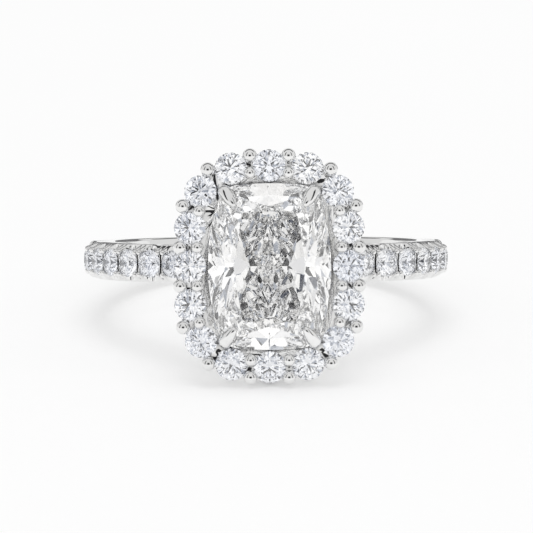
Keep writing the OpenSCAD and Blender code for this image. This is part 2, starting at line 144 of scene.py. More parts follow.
class HeadSizes(PropertyGroup):
    """Sizes of the head: the centre stone's claws and the halo"""
    centre_height: length("Girdle height",
                          "Height of the centre stone's girdle above the finger hole's middle", 12.9)
    centre_width: length("Centre width", "Width of the centre stone", 6.62)
    centre_length: length("Centre length", "Length of the centre stone", 8.94)
    long_side_radius: length("Long side", "Radius of the bulge of the stone's long sides", 11.6)
    short_side_radius: length("Short side", "Radius of the bulge of the stone's short sides", 16.6)
    corner_radius: length("Corner", "Radius of the stone's corners", 1.25)
    halo_stone: length("Halo stone", "Diameter of each stone in the halo", 1.76)
    halo_gap: length("Halo gap", "Gap between the centre stone and the halo's stones", 0.08)
    halo_corner: length("Halo corner", "Corner radius of the line of the halo's stones", 3.2)
    halo_lean: turn("Halo lean", "Outward lean of the halo's stones", 10.0)
    halo_drop: length("Halo depth", "Depth of the halo's girdles below the centre stone's girdle", 0.27)
    halo_per_quarter: IntProperty(name="Halo stones in a quarter",
                                  description="Stones in a quarter of the halo", default=4, min=1)
    outer_bead: length("Outer bead", "Radius of the halo's outer beads", 0.38)
    outer_bead_at: length("Outer bead place", "Distance of the outer beads from the line of the stones", 0.5)
    inner_bead: length("Inner bead", "Radius of the halo's inner beads", 0.34)
    inner_bead_at: length("Inner bead place", "Distance of the inner beads from the line of the stones", 0.44)
    bead_rise: length("Bead height", "Height of the beads' middles above the girdles", 0.28)
    plate: length("Plate", "Thickness of the halo's plate", 1.05)
    plate_out: length("Plate reach", "Reach of the plate beyond the line of the stones", 0.5)
    plate_lobe: length("Plate scallop", "Radius of the plate's scallop round each stone", 0.8)
    plate_ledge: length("Plate ledge", "Width of the plate's ledge below the centre stone's edge", 0.8)
    plate_edge: length("Plate edge", "Rounding of the plate's edges", 0.06)
    light_hole: length("Light hole", "Radius of the light hole behind each stone", 0.34)
    claw: length("Claw", "Radius of a claw's round shoulder", 0.38)
    claw_length: length("Claw length", "Length of a claw from its shoulder to its tip", 1.08)
    claw_rise: length("Claw height", "Height of a claw's shoulder above the girdle", 0.24)
    claw_slope: turn("Claw slope", "Slope of a claw's tip over the crown", 33.0)
    claw_azimuth: turn("Claw azimuth", "Azimuth of a claw's shoulder round the stone's corner", 47.0)
    claw_aim: turn("Claw aim", "Azimuth of the line along which a claw's tip points in", 55.0)
    wire: length("Wire", "Radius of the wires that carry the claws", 0.36)
    claw_knee: length("Claw knee", "Depth of the knee of a claw's wire below the girdle", 0.95)
    foot_share: share("Wire foot", "Place of a wire's foot, as a share of its claw's distance", 0.24)
    foot_sink: length("Wire sink", "Depth of a wire's foot in the band", 0.55)
    rail_height: length("Rail height", "Height of the gallery rail's wire", 0.5)
    rail_width: length("Rail width", "Width of the gallery rail's wire", 0.5)
    rail_rise: length("Rail rise", "Height of the gallery rail above the band", 0.95)
    rail_half_x: length("Rail half width", "Half the width of the gallery rail", 2.6)
    rail_half_y: length("Rail half length", "Half the length of the gallery rail", 3.64)


class Looks(PropertyGroup):
    """Colours and finishes"""
    metal: colour("Metal", "Colour of the white metal", (0.83, 0.83, 0.825))
    metal_bright: colour("Bright metal", "Colour of the metal where it is freshly polished",
                         (0.9, 0.9, 0.895))
    # Painted shade: the next two colours darken the metal in its recesses, standing in for the shade that
    # falls between the band's prongs and between the halo's beads; the reach sets how narrow a gap takes it
    band_painted_shade: colour("Band recesses", "Colour of the metal deep between the band's prongs",
                        (0.3, 0.305, 0.32))
    plate_painted_shade: colour("Plate recesses", "Colour of the metal deep between the halo's beads",
                         (0.2, 0.2, 0.21))
    painted_shade_reach: length("Recess reach", "Width of the gaps that count as recesses", 0.3)
    metal_rough: share("Metal roughness", "Roughness of the polished metal", 0.05)
    centre_tint: colour("Centre stone", "Tint of the centre stone", (0.985, 0.975, 0.955))
    halo_tint: colour("Small stones", "Tint of the small stones", (0.87, 0.89, 0.94))
    clear: colour("Clear", "Tint of the stones where they are clearest", (1.0, 1.0, 1.0))
    stone_ior: FloatProperty(name="Stone IOR", description="Index of refraction of the stones", default=2.42,
                             min=1.0, max=3.0)
    floor: colour("Floor", "Colour of the floor", (0.585, 0.585, 0.585))
    floor_glow: share("Floor glow", "Light that the lit tabletop gives off", 0.35)
    black_card: colour("Black card", "Colour of the studio's black cards", (0.016, 0.016, 0.018))
    grey_card: colour("Grey card", "Colour of the card behind the ring", (0.2, 0.2, 0.205))
    dim_card: colour("Dim card", "Colour of the card above the ring", (0.045, 0.045, 0.048))


class StudioSizes(PropertyGroup):
    """The studio's camera and lights"""
    camera_azimuth: turn("Azimuth", "Camera's azimuth, from the front to the right", -0.9)
    camera_elevation: turn("Elevation", "Camera's elevation above the floor", 15.7)
    camera_distance: length("Distance", "Distance of the camera from its target", 250.0)
    camera_target: length("Target", "Height of the camera's target above the floor", 3.46)
    frame_width: length("Frame width", "Width of what the camera sees at its target", 29.88)
    floor_size: length("Floor size", "Side of the square floor", 3000.0)
    daylight: share("Surroundings", "Brightness of the white surroundings", 0.8)


def band_sizes():
    return bpy.context.scene.ring_band


def head_sizes():
    return bpy.context.scene.ring_head


def looks():
    return bpy.context.scene.ring_looks


def studio_sizes():
    return bpy.context.scene.ring_studio


# Places in the ring

def station(angle):
    """The frame of a place on the band, at an angle from the head"""
    return RING @ Matrix.Rotation(angle, 4, "Z") @ Matrix.Rotation(math.pi / 2, 4, "X")


def band_radius():
    return BORE_RADIUS + band_sizes().thickness


def stone_pitch():
    """Angle from one stone of the band to the next"""
    band = band_sizes()
    return (band.stone + band.stone_gap) / (band_radius() - band.stone_sink)


def first_stone():
    """Angle from the head to the first stone of the band"""
    band = band_sizes()
    return band.stone_from / (band_radius() - band.stone_sink)


def shoulder_end():
    return first_stone() + (band_sizes().stone_count - 0.5) * stone_pitch()


def shoulder_angles(shift, extra):
    """Angles of the stones on both shoulders, or of the boundaries between them"""
    count = band_sizes().stone_count + extra
    return [side * (first_stone() + (i + shift) * stone_pitch()) for side in (-1, 1) for i in range(count)]


def halo_half():
    """Half the width and half the length of the line of the halo's stones"""
    head = head_sizes()
    out = head.halo_gap + head.halo_stone / 2 * math.cos(head.halo_lean)
    return head.centre_width / 2 + out, head.centre_length / 2 + out


def halo_place(number, out=0.0):
    """A place on the line of the halo's stones: its point, moved outward, and its outward azimuth"""
    head = head_sizes()
    half_x, half_y = halo_half()
    flat_x, flat_y = half_x - head.halo_corner, half_y - head.halo_corner
    arc = head.halo_corner * math.pi / 2
    quarter = flat_x + arc + flat_y
    way = number * quarter / head.halo_per_quarter
    turns = int(way // quarter)
    run = way - turns * quarter
    run = run if turns % 2 == 0 else quarter - run
    if run < flat_x:
        x, y, azimuth = run, half_y, math.pi / 2
    elif run > flat_x + arc:
        x, y, azimuth = half_x, quarter - run, 0.0
    else:
        azimuth = math.pi / 2 - (run - flat_x) / head.halo_corner
        x = flat_x + head.halo_corner * math.cos(azimuth)
        y = flat_y + head.halo_corner * math.sin(azimuth)
    x, y = x + out * math.cos(azimuth), y + out * math.sin(azimuth)
    quarters = [(x, y, azimuth), (x, -y, -azimuth), (-x, -y, math.pi + azimuth), (-x, y, math.pi - azimuth)]
    return quarters[turns]


def halo_frame(number):
    """The frame of a stone or a bead of the halo: X outward, Z along the stone's axis"""
    head = head_sizes()
    x, y, azimuth = halo_place(number)
    return (station(0) @ Matrix.Translation((x, y, head.centre_height - head.halo_drop))
            @ Matrix.Rotation(azimuth, 4, "Z") @ Matrix.Rotation(head.halo_lean, 4, "Y"))


def halo_count():
    return 4 * head_sizes().halo_per_quarter


def corner_centre():
    """Centre of the round corner of the centre stone's outline, where two offset circles meet"""
    head = head_sizes()
    side = Vector((head.centre_width / 2 - head.long_side_radius, 0))
    end = Vector((0, head.centre_length / 2 - head.short_side_radius))
    side_reach = head.long_side_radius - head.corner_radius
    end_reach = head.short_side_radius - head.corner_radius
    way = end - side
    along = (side_reach ** 2 - end_reach ** 2 + way.length_squared) / (2 * way.length)
    unit = way.normalized()
    aside = Vector((-unit.y, unit.x)) * math.sqrt(side_reach ** 2 - along ** 2)
    return side + along * unit + (aside if aside.x > 0 else -aside)


def claw_shoulder():
    """Middle of the claw's round shoulder in the first quarter, in the head's frame"""
    head = head_sizes()
    reach = head.corner_radius - CLAW_BITE
    at = corner_centre() + reach * Vector((math.cos(head.claw_azimuth), math.sin(head.claw_azimuth)))
    return Vector((at.x, at.y, head.centre_height + head.claw_rise))


# Ways of working

def clear_selection():
    if bpy.context.object is not None and bpy.context.object.mode != "OBJECT":
        bpy.ops.object.mode_set(mode="OBJECT")
    bpy.ops.object.select_all(action="DESELECT")


def take(piece):
    """Makes a piece the only selected object and the active one"""
    clear_selection()
    piece.select_set(True)
    bpy.context.view_layer.objects.active = piece


def pick(piece, test):
    """In edit mode, selects the vertices whose place passes a test"""
    bpy.ops.object.mode_set(mode="OBJECT")
    mesh = piece.data
    mesh.polygons.foreach_set("select", [False] * len(mesh.polygons))
    mesh.edges.foreach_set("select", [False] * len(mesh.edges))
    mesh.vertices.foreach_set("select", [bool(test(v.co)) for v in mesh.vertices])
    bpy.ops.object.mode_set(mode="EDIT")
    bpy.ops.mesh.select_mode(type="VERT")


def start(add, **options):
    """Adds a primitive and gives its object"""
    clear_selection()
    add(**options)
    return bpy.context.object


def settle(piece, matrix=None):
    """Puts a piece at a place and leaves the place in its mesh"""
    if matrix is not None:
        piece.matrix_world = matrix @ piece.matrix_world
    take(piece)
    bpy.ops.object.transform_apply(location=True, rotation=True, scale=True)
    return piece


def join(parts, name):
    """Joins parts into one piece"""
    clear_selection()
    for part in parts:
        part.select_set(True)
    bpy.context.view_layer.objects.active = parts[0]
    if len(parts) > 1:
        bpy.ops.object.join()
    parts[0].name = parts[0].data.name = name
    return parts[0]


def repeat(model, places, name):
    """Copies a model to each place, each copy with its own mesh, and joins the copies"""
    twins = []
    for place in places:
        take(model)
        bpy.ops.object.duplicate(linked=False)
        twins.append(settle(bpy.context.object, place))
    bpy.data.objects.remove(model)
    return join(twins, name)


def carve(piece, tool, operation="DIFFERENCE", meets_itself=False):
    """Cuts a tool out of a piece, or joins it on, and removes the tool"""
    modifier = piece.modifiers.new("carve", "BOOLEAN")
    modifier.operation = operation
    modifier.solver = "EXACT"
    modifier.use_self = meets_itself
    modifier.object = tool
    take(piece)
    bpy.ops.object.modifier_apply(modifier=modifier.name)
    bpy.data.objects.remove(tool)
    return piece


def box_corners(piece):
    """The corners of a piece's box"""
    return [piece.matrix_world @ Vector(corner) for corner in piece.bound_box]


def stone_room(test, room):
    """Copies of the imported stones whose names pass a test, a little larger, to cut their seats"""
    copies = []
    for name, node in frame["nodes"].items():
        if name == "setting" or not test(name):
            continue
        copy = bpy.data.objects.new("stone_room", node.data.copy())
        bpy.context.scene.collection.objects.link(copy)
        settle(copy, node.matrix_world)
        face_outwards(copy)
        corners = box_corners(copy)
        middle = sum(corners, Vector()) / len(corners)
        reach = max((corner - middle).length for corner in corners)
        grow = 1 + room / reach
        bpy.ops.object.mode_set(mode="EDIT")
        bpy.ops.mesh.select_all(action="SELECT")
        bpy.ops.transform.resize(value=(grow, grow, grow), center_override=middle)
        bpy.ops.object.mode_set(mode="OBJECT")
        copies.append(copy)
    return join(copies, "stone_room")


def clear_centre(piece, meets_itself=False):
    """Cuts away what would reach into the centre stone"""
    room = stone_room(lambda name: name == "centre_stone", CENTRE_ROOM)
    return carve(piece, room, meets_itself=meets_itself)


def face_outwards(piece):
    """Merges doubles and turns the faces outwards"""
    take(piece)
    bpy.ops.object.mode_set(mode="EDIT")
    bpy.ops.mesh.select_all(action="SELECT")
    bpy.ops.mesh.remove_doubles(threshold=DOUBLE)
    bpy.ops.mesh.normals_make_consistent(inside=False)
    bpy.ops.object.mode_set(mode="OBJECT")


def soften(piece, width, segments=3):
    """Rounds a piece's sharp edges"""
    modifier = piece.modifiers.new("soften", "BEVEL")
    modifier.width = width
    modifier.segments = segments
    modifier.limit_method = "ANGLE"
    modifier.angle_limit = ROUNDED_ANGLE
    modifier.harden_normals = False
    take(piece)
    bpy.ops.object.modifier_apply(modifier=modifier.name)


def finish_metal(piece, painted_shade=None):
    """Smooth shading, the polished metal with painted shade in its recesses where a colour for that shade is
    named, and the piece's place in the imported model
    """
    take(piece)
    bpy.ops.object.shade_smooth_by_angle(angle=CRISP_ANGLE)
    piece.data.materials.clear()
    piece.data.materials.append(polished_metal(painted_shade))
    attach(piece, "root")
    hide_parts("setting")


# Materials

# Stretch of a pattern over which a tone changes, and over which a finish does, and the detail of both
TONE_SPAN = (0.35, 0.65)
FINISH_SPAN = (0.3, 0.7)
PATTERN_DETAIL = 3.0

# Openness at which the metal takes the full painted shade of a deep hollow, and at which it counts as open
# and takes none
PAINTED_SHADE_SPAN = (0.25, 0.75)
PAINTED_SHADE_RAYS = 8

# How the tent's panels are turned, how many stand side by side in a metre, and their tones, each with
# the share of panels that are darker
PANEL_TURN = (4.98, 5.16, 3.05)
PANELS_IN_A_METRE = 7.0
PANEL_TONES = ((0.0, (0.07, 0.08, 0.11)), (0.12, (0.45, 0.48, 0.54)), (0.30, (0.92, 0.925, 0.94)),
               (0.55, (1.2, 1.2, 1.2)))


def new_material(name):
    """A new material and its Principled surface"""
    material = bpy.data.materials.new(name)
    material.use_nodes = True
    return material, material.node_tree.nodes["Principled BSDF"]


def pattern(material, scale):
    """A fine noise on Object coordinates, in repeats to the metre"""
    nodes, links = material.node_tree.nodes, material.node_tree.links
    place = nodes.new("ShaderNodeTexCoord")
    noise = nodes.new("ShaderNodeTexNoise")
    noise.inputs["Scale"].default_value = scale
    noise.inputs["Detail"].default_value = PATTERN_DETAIL
    links.new(place.outputs["Object"], noise.inputs["Vector"])
    return noise.outputs["Fac"]


def vary(material, source, socket, low, high):
    """Lets a pattern move a number of the surface between two values"""
    nodes, links = material.node_tree.nodes, material.node_tree.links
    span = nodes.new("ShaderNodeMapRange")
    span.inputs["From Min"].default_value = FINISH_SPAN[0]
    span.inputs["From Max"].default_value = FINISH_SPAN[1]
    span.inputs["To Min"].default_value = low
    span.inputs["To Max"].default_value = high
    links.new(source, span.inputs["Value"])
    links.new(span.outputs["Result"], socket)


def two_tones(material, source, one, other):
    """A colour that a pattern moves between two colours"""
    ramp = material.node_tree.nodes.new("ShaderNodeValToRGB")
    for element, at, tone in zip(ramp.color_ramp.elements, TONE_SPAN, (one, other)):
        element.position = at
        element.color = (*tone, 1.0)
    material.node_tree.links.new(source, ramp.inputs["Fac"])
    return ramp.outputs["Color"]


def tint(material, source, socket, one, other):
    """Gives a colour of the surface two tones, which a pattern moves between"""
    material.node_tree.links.new(two_tones(material, source, one, other), socket)


def shade_recesses(material, source, socket, painted_shade):
    """The metal's varied tone in the open, and painted shade: a dark colour mixed in where ambient occlusion
    finds near surfaces, as in recesses where shade falls
    """
    nodes, links = material.node_tree.nodes, material.node_tree.links
    look = looks()
    openness = nodes.new("ShaderNodeAmbientOcclusion")
    openness.samples = PAINTED_SHADE_RAYS
    openness.inputs["Distance"].default_value = look.painted_shade_reach
    # Painted shade: the dark colour takes over as the openness falls
    shade_mix = nodes.new("ShaderNodeMix")
    shade_mix.data_type = "RGBA"
    shade_mix.inputs["A"].default_value = (*painted_shade, 1.0)
    span = nodes.new("ShaderNodeMapRange")
    span.inputs["From Min"].default_value = PAINTED_SHADE_SPAN[0]
    span.inputs["From Max"].default_value = PAINTED_SHADE_SPAN[1]
    links.new(openness.outputs["AO"], span.inputs["Value"])
    links.new(span.outputs["Result"], shade_mix.inputs["Factor"])
    links.new(two_tones(material, source, look.metal, look.metal_bright), shade_mix.inputs["B"])
    links.new(shade_mix.outputs["Result"], socket)


def relief(material, source, surface, strength, depth):
    """Lets a pattern raise the surface a little"""
    nodes, links = material.node_tree.nodes, material.node_tree.links
    bump = nodes.new("ShaderNodeBump")
    bump.inputs["Strength"].default_value = strength
    bump.inputs["Distance"].default_value = depth
    links.new(source, bump.inputs["Height"])
    links.new(bump.outputs["Normal"], surface.inputs["Normal"])


def polished_metal(painted_shade):
    """White gold with a rhodium polish: small changes of tone, faint polishing marks, and painted shade
    in its recesses where a colour for that shade is given"""
    name = "white_metal_with_" + painted_shade if painted_shade else "polished_white_metal"
    if name in bpy.data.materials:
        return bpy.data.materials[name]
    material, surface = new_material(name)
    look = looks()
    surface.inputs["Metallic"].default_value = 1.0
    clouds = pattern(material, scale=260.0)
    # Painted shade: the recesses get a dark colour that stands in for the shade falling there
    if painted_shade:
        shade_recesses(material, clouds, surface.inputs["Base Color"], getattr(look, painted_shade))
    else:
        tint(material, clouds, surface.inputs["Base Color"], look.metal, look.metal_bright)
    vary(material, pattern(material, scale=1400.0), surface.inputs["Roughness"],
         low=0.6 * look.metal_rough, high=1.4 * look.metal_rough)
    relief(material, pattern(material, scale=2600.0), surface, strength=0.05, depth=0.004 * MM)
    return material


def cut_stone(name, tone):
    """A clear stone with a high index, a faint tint and an all but perfect polish"""
    material, surface = new_material(name)
    look = looks()
    surface.inputs["Transmission Weight"].default_value = 1.0
    surface.inputs["IOR"].default_value = look.stone_ior
    tint(material, pattern(material, scale=420.0), surface.inputs["Base Color"], tone, look.clear)
    vary(material, pattern(material, scale=900.0), surface.inputs["Roughness"], low=0.0, high=0.004)
    relief(material, pattern(material, scale=1800.0), surface, strength=0.01, depth=0.001 * MM)
    return material


def pale_floor():
    """A pale, matt tabletop, faintly lit from below"""
    material, surface = new_material("pale_tabletop")
    look = looks()
    darker = tuple(0.985 * part for part in look.floor)
    tint(material, pattern(material, scale=9.0), surface.inputs["Base Color"], darker, look.floor)
    vary(material, pattern(material, scale=60.0), surface.inputs["Roughness"], low=0.28, high=0.36)
    relief(material, pattern(material, scale=300.0), surface, strength=0.02, depth=0.01 * MM)
    surface.inputs["Specular IOR Level"].default_value = 0.0
    surface.inputs["Emission Color"].default_value = (1.0, 1.0, 1.0, 1.0)
    surface.inputs["Emission Strength"].default_value = look.floor_glow
    return material


def matt_card(name, tone):
    """Matt card, as studios use to draw dark lines into polished metal and stones"""
    material, surface = new_material(name)
    paler = tuple(1.1 * part for part in tone)
    tint(material, pattern(material, scale=30.0), surface.inputs["Base Color"], tone, paler)
    vary(material, pattern(material, scale=90.0), surface.inputs["Roughness"], low=0.8, high=0.95)
    relief(material, pattern(material, scale=400.0), surface, strength=0.1, depth=0.1 * MM)
    return material


def tent_panels():
    """Lit panels of a light tent, each with its own tone"""
    material = bpy.data.materials.new("tent_panels")
    material.use_nodes = True
    nodes, links = material.node_tree.nodes, material.node_tree.links
    nodes.clear()
    place = nodes.new("ShaderNodeTexCoord")
    turned = nodes.new("ShaderNodeMapping")
    turned.inputs["Rotation"].default_value = PANEL_TURN
    panels = nodes.new("ShaderNodeTexVoronoi")
    panels.inputs["Scale"].default_value = PANELS_IN_A_METRE
    parts = nodes.new("ShaderNodeSeparateColor")
    tones = nodes.new("ShaderNodeValToRGB")
    tones.color_ramp.interpolation = "CONSTANT"
    while len(tones.color_ramp.elements) < len(PANEL_TONES):
        tones.color_ramp.elements.new(1.0)
    for element, (at, tone) in zip(tones.color_ramp.elements, PANEL_TONES):
        element.position = at
        element.color = (*tone, 1.0)
    lamp = nodes.new("ShaderNodeEmission")
    surface = nodes.new("ShaderNodeOutputMaterial")
    links.new(place.outputs["Object"], turned.inputs["Vector"])
    links.new(turned.outputs["Vector"], panels.inputs["Vector"])
    links.new(panels.outputs["Color"], parts.inputs["Color"])
    links.new(parts.outputs["Red"], tones.inputs["Fac"])
    links.new(tones.outputs["Color"], lamp.inputs["Color"])
    links.new(lamp.outputs["Emission"], surface.inputs["Surface"])
    material.cycles.emission_sampling = "NONE"
    return material


# Pieces

def rounded_plate(name, half_x, half_y, corner, low, high, segments=20):
    """A rounded rectangle between two heights of the head, left in the head's frame"""
    piece = start(bpy.ops.mesh.primitive_plane_add, size=2.0, location=(0.0, 0.0, low))
    piece.name = name
    bpy.ops.object.mode_set(mode="EDIT")
    bpy.ops.transform.resize(value=(half_x, half_y, 1.0), center_override=(0.0, 0.0, low))
    bpy.ops.mesh.bevel(offset=corner, segments=segments, affect="VERTICES")
    bpy.ops.mesh.select_all(action="SELECT")
    bpy.ops.mesh.extrude_region_move(TRANSFORM_OT_translate={"value": (0.0, 0.0, high - low)})
    bpy.ops.object.mode_set(mode="OBJECT")
    settle(piece)
    face_outwards(piece)
    return piece


def seat_tool(diameter, room):
    """A cutter with the shape that a round stone takes up, its girdle at the origin"""
    radius = diameter / 2 + room
    depth = diameter * STONE_DEPTH + 2 * room
    cone = start(bpy.ops.mesh.primitive_cone_add, vertices=48, radius1=0.0, radius2=radius, depth=depth,
                 location=(0.0, 0.0, -depth / 2))
    pick(cone, lambda co: co.z > depth / 2 - ON_LINE)
    bpy.ops.mesh.extrude_region_move(TRANSFORM_OT_translate={"value": (0.0, 0.0, diameter * CUTTER_RISE)})
    bpy.ops.object.mode_set(mode="OBJECT")
    settle(cone)
    face_outwards(cone)
    return cone


class RING_OT_band(Operator):
    """Spins the band from its section, bevels its shoulders and cuts scallops, seats and slits"""
    bl_idname = "ring.band"
    bl_label = "Band"

    def execute(self, context):
        band = band_sizes()
        outer = band_radius()
        half = band.width / 2
        middle = (BORE_RADIUS + outer) / 2
        section = start(bpy.ops.mesh.primitive_plane_add, size=1.0, rotation=(math.pi / 2, 0.0, 0.0))
        section.scale = (band.thickness, band.width, 1.0)
        section.location = (middle, 0.0, 0.0)
        settle(section)
        pick(section, lambda co: co.x < middle)
        bpy.ops.mesh.bevel(offset=band.inner_round, segments=6, affect="VERTICES")
        pick(section, lambda co: co.x > outer - ON_LINE)
        bpy.ops.mesh.bevel(offset=band.outer_round, segments=OUTER_ROUND_STEPS, affect="VERTICES")
        bpy.ops.mesh.select_all(action="SELECT")
        bpy.ops.mesh.delete(type="ONLY_FACE")
        bpy.ops.mesh.select_all(action="SELECT")
        bpy.ops.mesh.spin(steps=288, angle=2 * math.pi, center=(0.0, 0.0, 0.0), axis=(0.0, 0.0, 1.0))
        bpy.ops.object.mode_set(mode="OBJECT")
        face_outwards(section)
        self.bevel_shoulders(section, outer, half)
        self.cut_shoulders(section, outer)
        settle(section, RING)
        clear_centre(section)
        section.name = section.data.name = "band"
        # Painted shade darkens the band's metal between its prongs and in its seats
        finish_metal(section, "band_painted_shade")
        return {"FINISHED"}

    def bevel_shoulders(self, piece, outer, half):
        """Moves each line of the outer rounding on to a straight bevel, along the shoulders alone"""
        band = band_sizes()
        limit = shoulder_end()
        rounding = outer - band.outer_round
        for line in range(OUTER_ROUND_STEPS + 1):
            step = line / OUTER_ROUND_STEPS
            angle = math.pi / 2 * step
            radius = rounding + band.outer_round * math.sin(angle)
            height = half - band.outer_round + band.outer_round * math.cos(angle)
            new_radius = outer - band.bevel_depth * (1 - step)
            new_height = half - band.bevel_width * step

            def on_line(co):
                near = abs(math.hypot(co.x, co.y) - radius) + abs(abs(co.z) - height) < ON_LINE
                return near and abs(math.atan2(co.x, -co.y)) < limit

            pick(piece, on_line)
            bpy.ops.transform.resize(value=(new_radius / radius, new_radius / radius, new_height / height),
                                     center_override=(0.0, 0.0, 0.0))
        bpy.ops.object.mode_set(mode="OBJECT")

    def cut_shoulders(self, piece, outer):
        """Cuts the scallops, the stones' seats, and the slits between the prongs"""
        band = band_sizes()
        to_ring = RING.inverted()
        stones = [to_ring @ station(a) for a in shoulder_angles(0, 0)]
        gaps = [to_ring @ station(a) for a in shoulder_angles(-0.5, 1)]
        scallop = start(bpy.ops.mesh.primitive_cylinder_add, vertices=40, radius=band.scallop_radius,
                        depth=band.width + OVERSHOOT, location=(0.0, 0.0, outer + band.stone_sink),
                        rotation=(math.pi / 2, 0.0, 0.0))
        settle(scallop)
        carve(piece, repeat(scallop, stones, "scallops"))
        seat = seat_tool(band.stone, BAND_SEAT_ROOM)
        settle(seat, Matrix.Translation((0.0, 0.0, outer - band.stone_sink)))
        carve(piece, repeat(seat, stones, "seats"))
        slit = start(bpy.ops.mesh.primitive_cube_add, size=1.0)
        slit.scale = (band.slit, band.width + OVERSHOOT, 2 * band.slit_depth)
        slit.location = (0.0, 0.0, outer)
        settle(slit)
        carve(piece, repeat(slit, gaps, "slits"))


def capsule(radius, run, segments=16, rings=10):
    """A round-ended rod from the origin along Z, shaped from a ball"""
    rod = start(bpy.ops.mesh.primitive_uv_sphere_add, segments=segments, ring_count=rings, radius=radius)
    pick(rod, lambda co: co.z > OFF_PLANE)
    bpy.ops.transform.translate(value=(0.0, 0.0, run))
    bpy.ops.object.mode_set(mode="OBJECT")
    return rod


def aim(start_point, end_point):
    """A frame at one point whose Z looks at another"""
    way = end_point - start_point
    return Matrix.Translation(start_point) @ way.to_track_quat("Z", "Y").to_matrix().to_4x4()


class RING_OT_band_prongs(Operator):
    """Lays the paired prongs over the shoulders' bevels, each with its small bead"""
    bl_idname = "ring.band_prongs"
    bl_label = "Band prongs"

    def execute(self, context):
        band = band_sizes()
        outer = band_radius()
        half = band.width / 2
        along = band.slit / 2 + band.prong_radius * PRONG_SPREAD
        parts = []
        for x in (-1, 1):
            for y in (-1, 1):
                top = Vector((x * along, y * (half - band.bevel_width), outer))
                foot = Vector((x * along, y * (half - band.prong_radius), outer - band.bevel_depth))
                rod = capsule(band.prong_radius, (foot - top).length)
                parts.append(settle(rod, aim(top, foot)))
                bead = start(bpy.ops.mesh.primitive_uv_sphere_add, segments=20, ring_count=12,
                             radius=band.bead_radius, location=top + Vector((0.0, 0.0, PRONG_BEAD_RISE)))
                parts.append(settle(bead))
        model = join(parts, "prong_group")
        prongs = repeat(model, [station(a) for a in shoulder_angles(-0.5, 1)], "band_prongs")
        # Painted shade darkens the prongs where they crowd together
        finish_metal(prongs, "band_painted_shade")
        return {"FINISHED"}


class RING_OT_halo_plate(Operator):
    """Cuts the halo's plate: its scallops, window, seats and light holes"""
    bl_idname = "ring.halo_plate"
    bl_label = "Halo plate"

    def execute(self, context):
        head = head_sizes()
        half_x, half_y = halo_half()
        high = (head.centre_height - head.halo_drop - head.halo_stone / 2 * math.sin(head.halo_lean)
                + PLATE_RISE)
        low = high - head.plate
        plate = rounded_plate("halo_plate", half_x + head.plate_out, half_y + head.plate_out,
                              head.halo_corner + head.plate_out, low, high)
        lobe = start(bpy.ops.mesh.primitive_cylinder_add, vertices=48, radius=head.plate_lobe,
                     depth=head.plate, location=(0.0, 0.0, (low + high) / 2))
        spots = [Matrix.Translation((*halo_place(i)[:2], 0.0)) for i in range(halo_count())]
        carve(plate, repeat(settle(lobe), spots, "lobes"), "UNION")
        post = start(bpy.ops.mesh.primitive_cylinder_add, vertices=24, radius=head.outer_bead * PLATE_POST,
                     depth=head.plate, location=(0.0, 0.0, (low + high) / 2))
        between = [Matrix.Translation((*halo_place(i + 0.5, head.plate_out)[:2], 0.0))
                   for i in range(halo_count())]
        carve(plate, repeat(settle(post), between, "posts"), "UNION")
        window = rounded_plate("window", head.centre_width / 2 - head.plate_ledge,
                               head.centre_length / 2 - head.plate_ledge, WINDOW_CORNER,
                               low - OVERSHOOT, high + OVERSHOOT, segments=8)
        carve(plate, window)
        hole = start(bpy.ops.mesh.primitive_cylinder_add, vertices=32, radius=head.light_hole,
                     depth=head.plate + 2 * OVERSHOOT, location=(0.0, 0.0, (low + high) / 2))
        carve(plate, repeat(settle(hole), spots, "light_holes"))
        to_head = station(0).inverted()
        seats = [to_head @ halo_frame(i) for i in range(halo_count())]
        carve(plate, repeat(seat_tool(head.halo_stone, HALO_SEAT_ROOM), seats, "halo_seats"))
        soften(plate, head.plate_edge, segments=2)
        settle(plate, station(0))
        clear_centre(plate)
        # Painted shade darkens the plate between the halo's beads and stones
        finish_metal(plate, "plate_painted_shade")
        return {"FINISHED"}


class RING_OT_halo_beads(Operator):
    """Sets the halo's outer and inner beads on their posts"""
    bl_idname = "ring.halo_beads"
    bl_label = "Halo beads"

    def execute(self, context):
        head = head_sizes()
        outer = self.bead(head.outer_bead, head.outer_bead_at, "outer_bead")
        rings = [repeat(outer, [halo_frame(i + 0.5) for i in range(halo_count())], "outer_beads")]
        inner = self.bead(head.inner_bead, -head.inner_bead_at, "inner_bead")
        shoulder = claw_shoulder()
        free = []
        for i in range(halo_count()):
            x, y, _ = halo_place(i + 0.5, -head.inner_bead_at)
            if math.hypot(abs(x) - shoulder.x, abs(y) - shoulder.y) > head.claw + head.inner_bead:
                free.append(halo_frame(i + 0.5))
        rings.append(repeat(inner, free, "inner_beads"))
        beads = join(rings, "halo_beads")
        room = stone_room(lambda name: name.startswith("halo_stone"), HALO_SEAT_ROOM)
        carve(beads, room, meets_itself=True)
        finish_metal(beads)
        return {"FINISHED"}

    def bead(self, radius, place, name):
        """One bead: a ball whose lower side is drawn out into a post"""
        rise = head_sizes().bead_rise
        ball = start(bpy.ops.mesh.primitive_uv_sphere_add, segments=32, ring_count=20, radius=radius,
                     location=(place, 0.0, rise))
        post = start(bpy.ops.mesh.primitive_cylinder_add, vertices=28, radius=radius * BEAD_POST,
                     depth=radius + rise, location=(place, 0.0, (rise - radius) / 2))
        return join([settle(ball), settle(post)], name)


